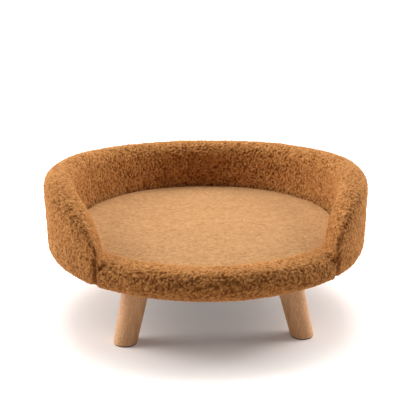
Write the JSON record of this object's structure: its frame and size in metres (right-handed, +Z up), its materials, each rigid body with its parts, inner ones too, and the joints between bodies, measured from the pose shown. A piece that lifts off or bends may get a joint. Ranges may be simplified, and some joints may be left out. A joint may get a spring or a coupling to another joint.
{
  "type": "dog bed with frame",
  "caption": "Round pet bed with a curved upholstered back and arms, a low front lip and a lift-out seat cushion, on short splayed wooden legs.",
  "frame": {"origin": "on the floor, under the middle of the round body", "axes": "+Z up, -Y toward the open front, +X to the right seen from the front"},
  "size_m": [0.5, 0.5, 0.234],
  "materials": {
    "boucle": "matte",
    "plush": "matte",
    "foam": "matte",
    "plywood": "matte",
    "beech": "satin",
    "nonwoven": "matte",
    "steel": "satin",
    "black_steel": "satin",
    "pad_felt": "matte",
    "zip_tape": "matte",
    "zip_metal": "satin"
  },
  "bodies": {
    "frame": {"base_board": "plywood", "dust_cover": "nonwoven", "back_shell": "plywood", "front_rail": "plywood", "shell_screws": "steel", "rail_screws": "steel", "cover_staples": "steel", "dust_staples": "steel", "back_cover": "boucle", "back_foam": "foam", "front_cover": "boucle", "front_foam": "foam", "leg_front_left": "beech", "foot_pad_front_left": "pad_felt", "leg_plate_front_left": "black_steel", "plate_screws_front_left": "steel", "leg_bolt_front_left": "steel", "leg_front_right": "beech", "foot_pad_front_right": "pad_felt", "leg_plate_front_right": "black_steel", "plate_screws_front_right": "steel", "leg_bolt_front_right": "steel", "leg_back_right": "beech", "foot_pad_back_right": "pad_felt", "leg_plate_back_right": "black_steel", "plate_screws_back_right": "steel", "leg_bolt_back_right": "steel", "leg_back_left": "beech", "foot_pad_back_left": "pad_felt", "leg_plate_back_left": "black_steel", "plate_screws_back_left": "steel", "leg_bolt_back_left": "steel"},
    "cushion": {"cushion_foam": "foam", "cushion_cover": "plush", "zip_tape": "zip_tape"},
    "zip": {"zip_slider": "zip_metal", "zip_pull": "zip_metal"}
  },
  "joints": [
    {"name": "cushion_lift", "type": "slide", "parent": "frame", "child": "cushion", "axis": [0, 0, 1], "range_m": [0, 0.12]},
    {"name": "zip_run", "type": "hinge", "parent": "cushion", "child": "zip", "pos_m": [0, 0, 0.129], "axis": [0, 0, 1], "range_deg": [-45, 45]}
  ]
}
